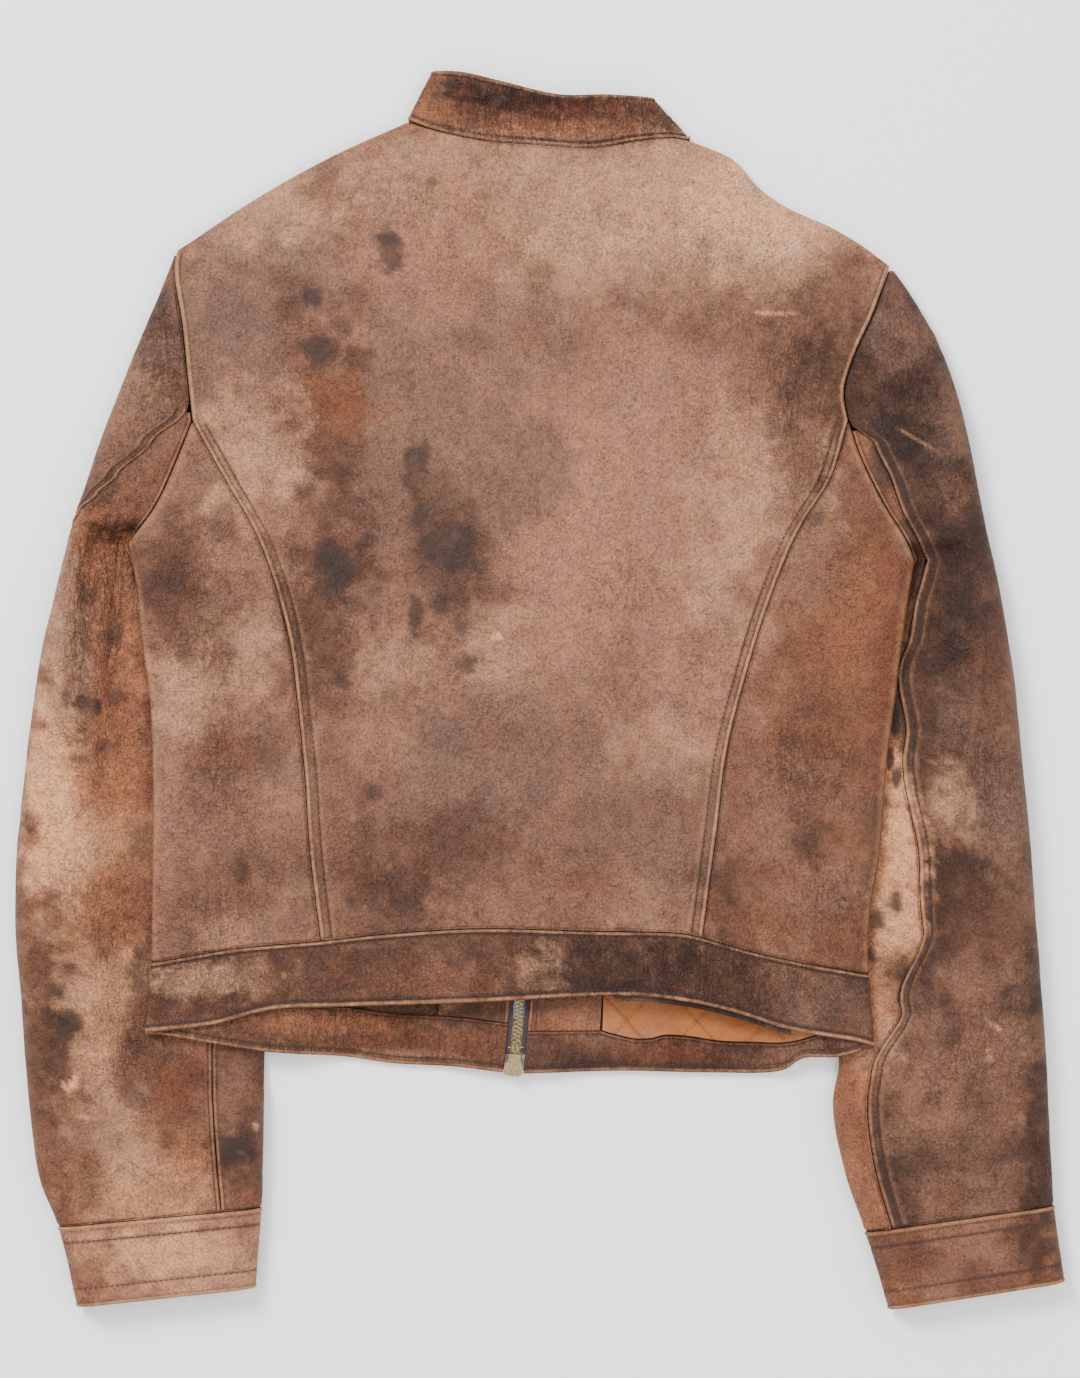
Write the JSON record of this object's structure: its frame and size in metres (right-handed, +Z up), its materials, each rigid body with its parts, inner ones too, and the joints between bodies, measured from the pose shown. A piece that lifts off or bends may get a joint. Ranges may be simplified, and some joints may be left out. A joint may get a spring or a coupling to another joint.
{
  "type": "leather jacket",
  "caption": "Worn brown leather jacket laid flat on its front, back upwards, with princess seams, a stand collar, a hem band and a metal two-way zip.",
  "frame": {"origin": "on the floor, under the middle of the jacket as it lies", "axes": "+X to the right as seen from above, +Y to the collar, +Z up out of the jacket's back"},
  "size_m": [0.6281, 0.741, 0.0227],
  "materials": {
    "leather": "worn waxed leather, satin",
    "facing_leather": "smooth leather facing, satin",
    "lining": "quilted woven lining, soft sheen",
    "zip_tape": "woven tape, matt",
    "zip_metal": "worn plated brass, satin"
  },
  "bodies": {
    "jacket": {"back_centre": "leather", "back_side_left": "leather", "back_side_right": "leather", "back_hem_band": "leather", "front_left": "leather", "front_right": "leather", "front_band_left": "leather", "front_band_right": "leather", "sleeve_left_under": "leather", "sleeve_left_top": "leather", "cuff_left": "leather", "sleeve_right_under": "leather", "sleeve_right_top": "leather", "cuff_right": "leather", "collar": "leather", "back_band_facing": "facing_leather", "hem_facing_left": "facing_leather", "hem_facing_right": "facing_leather", "zip_facing_left": "facing_leather", "zip_facing_right": "facing_leather", "lining_right": "lining", "zip_tape_left": "zip_tape", "zip_tape_right": "zip_tape", "zip_teeth_left": "zip_metal", "zip_teeth_right": "zip_metal", "slider_bottom": "zip_metal", "slider_top": "zip_metal"},
    "bottom_pull": {"pull_tab_bottom": "zip_metal"},
    "top_pull": {"pull_tab_top": "zip_metal"}
  },
  "joints": [
    {"name": "bottom_tab_hinge", "type": "hinge", "parent": "jacket", "child": "bottom_pull", "pos_m": [-0.01558, -0.22497, 0.0016], "axis": [-0.9948, 0.1015, 0], "range_deg": [0, 170]},
    {"name": "top_tab_hinge", "type": "hinge", "parent": "jacket", "child": "top_pull", "pos_m": [-0.00617, 0.296, 0.0016], "axis": [0.9999, -0.0119, 0], "range_deg": [0, 170]}
  ]
}
